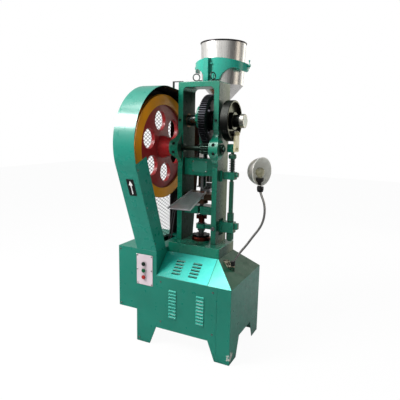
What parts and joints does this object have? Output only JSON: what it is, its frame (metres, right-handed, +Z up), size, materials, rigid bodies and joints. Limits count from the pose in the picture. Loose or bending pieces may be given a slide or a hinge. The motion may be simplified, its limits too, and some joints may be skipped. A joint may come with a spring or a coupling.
{
  "type": "single punch tablet press",
  "caption": "Single-station mechanical tablet press: flywheel and gear drive an eccentric ram above a die table, with feed hopper, belt guard, lamp and sheet-metal cabinet.",
  "frame": {"origin": "on the floor, under the middle of the machine's outline seen from above", "axes": "+Z up, +X to the right of a person facing the machine's front, +Y from the front towards the rear"},
  "size_m": [0.7982, 0.7978, 1.6888],
  "materials": {
    "sheet_green": "satin enamel",
    "cast_green": "gloss enamel on casting",
    "bare_steel": "machined",
    "dark_iron": "oiled",
    "wheel_maroon": "gloss enamel",
    "copper": "turned",
    "stainless": "brushed",
    "black_paint": "matte black",
    "cream": "satin",
    "red_brown": "oiled",
    "belt_rubber": "matt",
    "bulb_glass": "frosted",
    "shade_grey": "satin",
    "plate_alu": "satin",
    "button_red": "gloss",
    "button_green": "gloss"
  },
  "bodies": {
    "machine": {"cabinet_shell": "sheet_green", "front_panel": "sheet_green", "slope_panel": "sheet_green", "motor_box": "sheet_green", "control_plate": "plate_alu", "panel_screws": "bare_steel", "pedestal": "cast_green", "press_frame": "cast_green", "bearing_caps": "cast_green", "shaft_bushes": "copper", "cap_bolts": "dark_iron", "eye_bolts": "bare_steel", "ram_guide": "cast_green", "name_plate": "plate_alu", "die_table": "bare_steel", "die": "bare_steel", "die_ring": "copper", "lower_guide": "cast_green", "discharge_tray": "stainless", "base_flange": "red_brown", "hopper_bracket": "cast_green", "guard_shell": "sheet_green", "guard_back": "black_paint", "guard_stay": "black_paint", "motor": "cast_green", "v_belts": "belt_rubber", "rod_bracket": "cast_green", "lever_pin": "bare_steel", "lamp_base": "cast_green"},
    "main_shaft": {"main_shaft": "bare_steel", "main_gear": "dark_iron", "cam_drum": "dark_iron", "end_collar": "dark_iron"},
    "pinion": {"pinion_shaft": "bare_steel", "flywheel": "wheel_maroon"},
    "motor_rotor": {"motor_pulley": "dark_iron"},
    "conrod": {"connecting_rod": "cast_green", "rod_cap": "cast_green"},
    "ram": {"ram": "bare_steel", "wrist_pins": "bare_steel", "upper_punch": "bare_steel"},
    "lift": {"lift_rod": "bare_steel", "lift_block": "cast_green", "follower_plate": "cream", "lift_spring": "bare_steel"},
    "roller": {"cam_roller": "bare_steel"},
    "lever": {"lift_lever": "cast_green"},
    "punch_column": {"lower_punch": "bare_steel"},
    "fill_star": {"fill_star": "red_brown"},
    "eject_star": {"eject_star": "black_paint"},
    "feed_shoe": {"feed_shoe": "stainless"},
    "jog_button": {"jog_button": "button_green"},
    "run_button": {"run_button": "button_green"},
    "stop_button": {"stop_button": "button_red"},
    "hopper": {"hopper": "stainless", "feed_tube": "stainless"},
    "lamp_arm": {"lamp_neck": "stainless"},
    "lamp_head": {"lamp_shade": "shade_grey", "lamp_socket": "black_paint", "lamp_bulb": "bulb_glass"}
  },
  "joints": [
    {"name": "pinion_spin", "type": "hinge", "parent": "machine", "child": "pinion", "pos_m": [0.00587, -0.0089, 1.09876], "axis": [1, 0, 0], "continuous": true},
    {"name": "mainshaft_spin", "type": "hinge", "parent": "machine", "child": "main_shaft", "pos_m": [0.00587, 0.0591, 1.248], "axis": [1, 0, 0], "continuous": true},
    {"name": "motor_spin", "type": "hinge", "parent": "machine", "child": "motor_rotor", "pos_m": [-0.22414, 0.0051, 0.33], "axis": [1, 0, 0], "continuous": true},
    {"name": "conrod_swing", "type": "hinge", "parent": "main_shaft", "child": "conrod", "pos_m": [-0.00813, 0.0591, 1.262], "axis": [1, 0, 0], "continuous": true},
    {"name": "ram_slide", "type": "slide", "parent": "machine", "child": "ram", "axis": [0, 0, 1], "range_m": [-0.028, 0]},
    {"name": "lever_tilt", "type": "hinge", "parent": "machine", "child": "lever", "pos_m": [0.09786, 0.0591, 0.664], "axis": [0, 1, 0], "range_deg": [0, 4.5]},
    {"name": "lift_slide", "type": "slide", "parent": "machine", "child": "lift", "axis": [0, 0, 1], "range_m": [-0.0056, 0], "deforming": ["lift_spring"]},
    {"name": "punch_slide", "type": "slide", "parent": "machine", "child": "punch_column", "axis": [0, 0, 1], "range_m": [0, 0.0084]},
    {"name": "roller_spin", "type": "hinge", "parent": "lift", "child": "roller", "pos_m": [0.16886, 0.0591, 1.182], "axis": [1, 0, 0], "continuous": true},
    {"name": "fill_star_turn", "type": "hinge", "parent": "punch_column", "child": "fill_star", "pos_m": [-0.00813, 0.0591, 0.706], "axis": [0, 0, 1], "continuous": true},
    {"name": "eject_star_turn", "type": "hinge", "parent": "machine", "child": "eject_star", "pos_m": [-0.00813, 0.0591, 0.6], "axis": [0, 0, 1], "continuous": true},
    {"name": "shoe_slide", "type": "slide", "parent": "machine", "child": "feed_shoe", "axis": [0, -1, 0], "range_m": [0, 0.045]},
    {"name": "jog_press", "type": "slide", "parent": "machine", "child": "jog_button", "axis": [0, 1, 0], "range_m": [0, 0.004], "stiffness_N_per_m": 400},
    {"name": "run_press", "type": "slide", "parent": "machine", "child": "run_button", "axis": [0, 1, 0], "range_m": [0, 0.004], "stiffness_N_per_m": 400},
    {"name": "stop_press", "type": "slide", "parent": "machine", "child": "stop_button", "axis": [0, 1, 0], "range_m": [0, 0.004], "stiffness_N_per_m": 400},
    {"name": "hopper_lift", "type": "slide", "parent": "machine", "child": "hopper", "axis": [0, 0, 1], "range_m": [0, 0.06]},
    {"name": "lamp_swivel", "type": "hinge", "parent": "machine", "child": "lamp_arm", "pos_m": [0.23186, -0.0409, 0.48457], "axis": [0, 0, 1], "range_deg": [-60, 25]},
    {"name": "lamp_tilt", "type": "hinge", "parent": "lamp_arm", "child": "lamp_head", "pos_m": [0.36334, -0.03756, 0.903], "axis": [0.3907, 0.9205, 0], "range_deg": [-12, 8]}
  ],
  "couplings": [
    {"joint": "mainshaft_spin", "follows": "pinion_spin", "ratio": -0.20588},
    {"joint": "motor_spin", "follows": "pinion_spin", "ratio": 6.0638},
    {"joint": "conrod_swing", "follows": "pinion_spin", "ratio": 0.20588},
    {"joint": "lift_slide", "follows": "lever_tilt", "m_per_rad": -0.071},
    {"joint": "punch_slide", "follows": "lever_tilt", "m_per_rad": 0.106}
  ]
}
